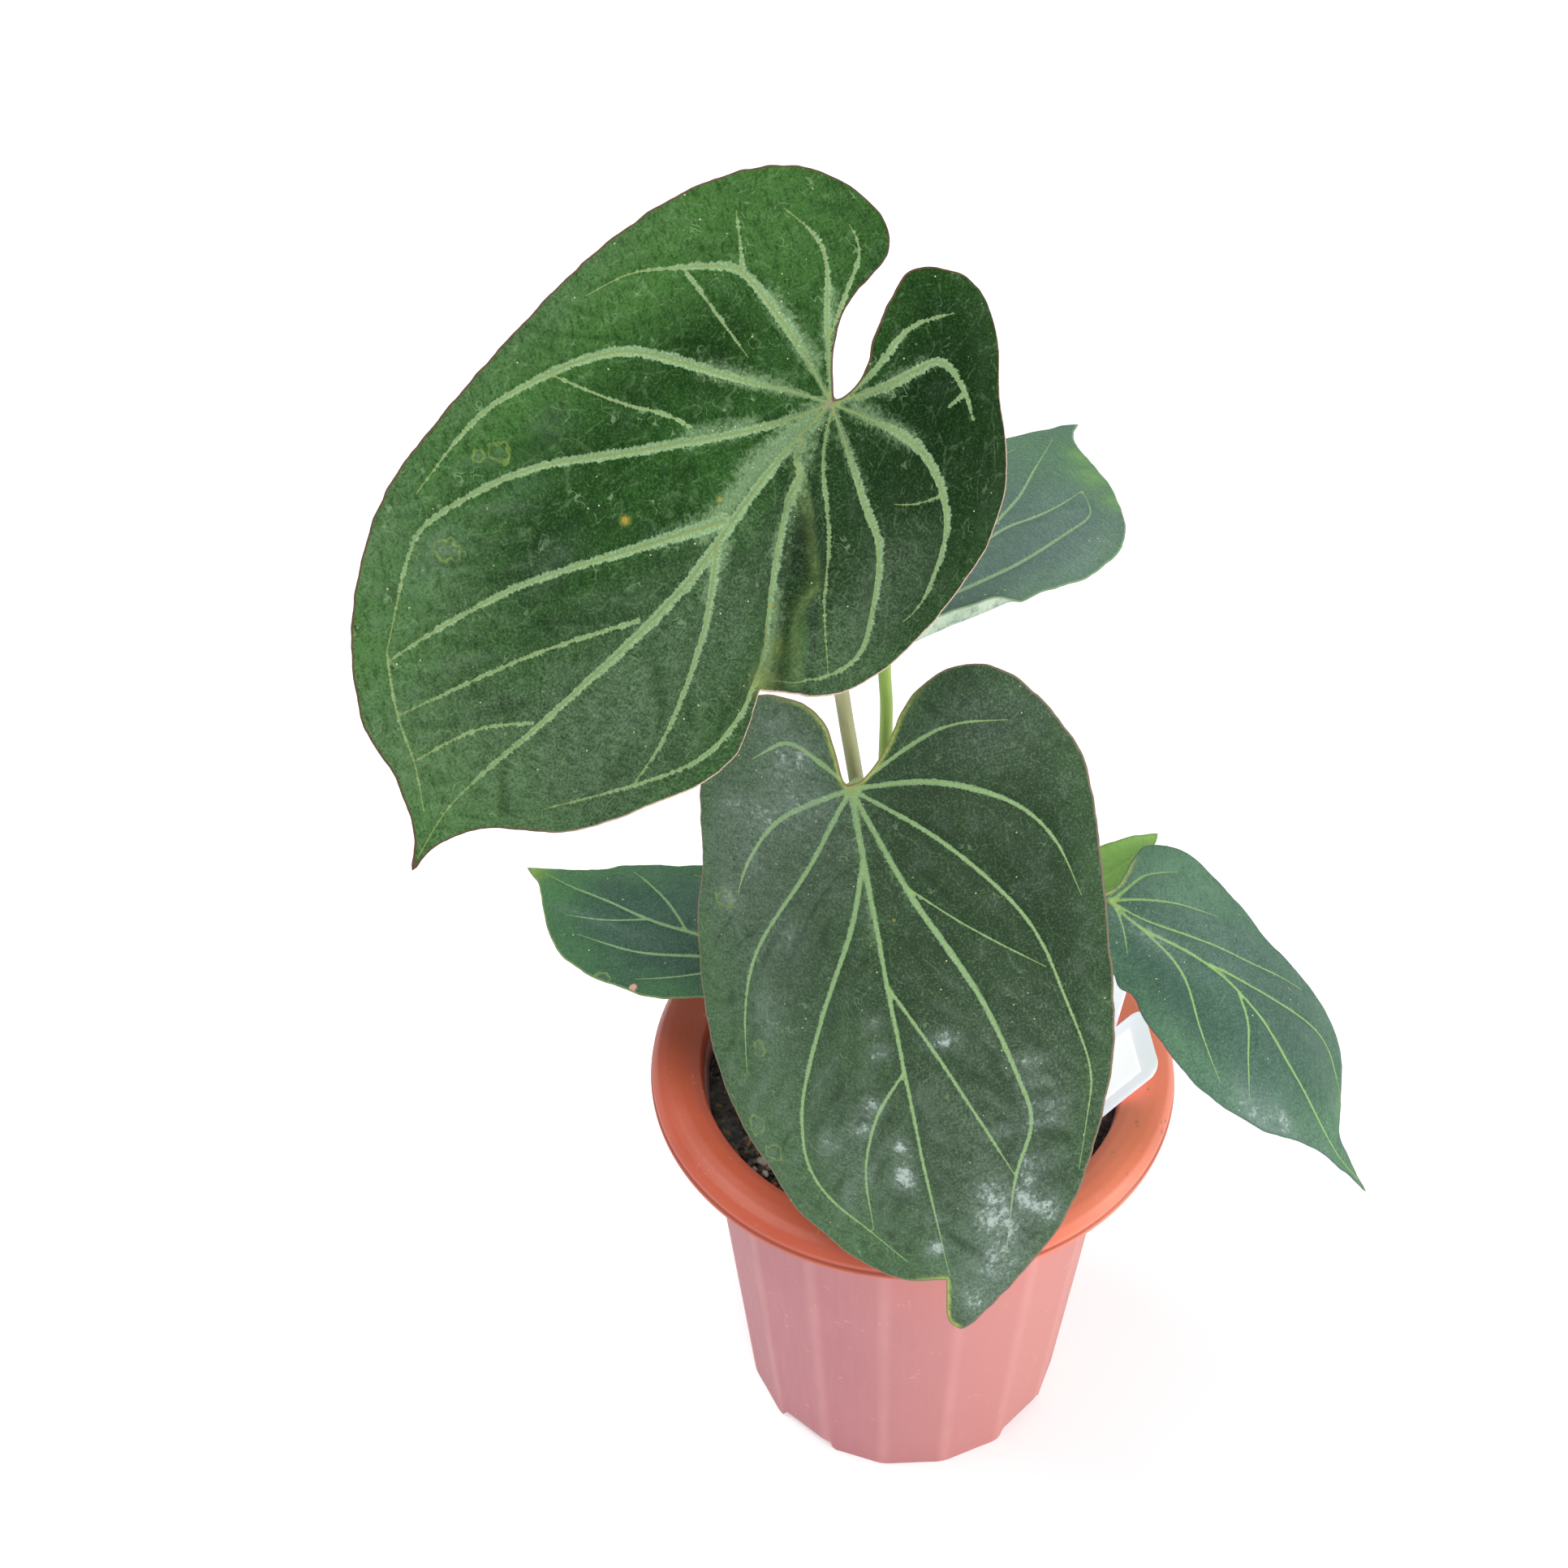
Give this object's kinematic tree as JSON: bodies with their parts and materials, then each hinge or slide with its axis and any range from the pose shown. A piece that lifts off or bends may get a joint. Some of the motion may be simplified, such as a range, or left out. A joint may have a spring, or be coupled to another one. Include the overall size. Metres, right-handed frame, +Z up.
{
  "type": "potted anthurium king of spades",
  "caption": "Aroid house plant with broad heart-shaped velvety leaves and pale veins, rooted in bark mix in a tapered red nursery pot with a rolled rim.",
  "frame": {"origin": "middle of the bottom face of the whole plant's bounding box, on the surface it stands on", "axes": "+Z up; the front leaf hangs towards -Y, and the large leaf's tip points to -X and -Y"},
  "size_m": [0.2982, 0.2408, 0.4703],
  "materials": {
    "pot_plastic": "satin, a little dusty",
    "mix": "rough bark mix",
    "crown_wood": "rough",
    "petiole": "smooth stem",
    "leaf": "velvety",
    "leaf_dusty": "velvety, dusty",
    "leaf_young": "soft sheen",
    "sheath": "dry and papery",
    "bark": "rough",
    "tag_plastic": "satin",
    "sticker_paper": "matte"
  },
  "bodies": {
    "root": {"pot": "pot_plastic", "potting_mix": "mix", "crown": "crown_wood", "petiole_large": "petiole", "blade_large": "leaf", "petiole_front": "petiole", "blade_front": "leaf_dusty", "petiole_back": "petiole", "blade_back": "leaf", "petiole_left": "petiole", "blade_left": "leaf", "petiole_right": "petiole", "blade_right": "leaf", "petiole_young": "petiole", "blade_young": "leaf_young", "plant_tag": "tag_plastic", "tag_sticker": "sticker_paper", "label_stake": "tag_plastic", "bark_chip_1": "bark", "bark_chip_2": "bark", "bark_chip_3": "bark", "bark_chip_4": "bark", "sheath_1": "sheath", "sheath_2": "sheath", "sheath_3": "sheath"}
  },
  "joints": []
}
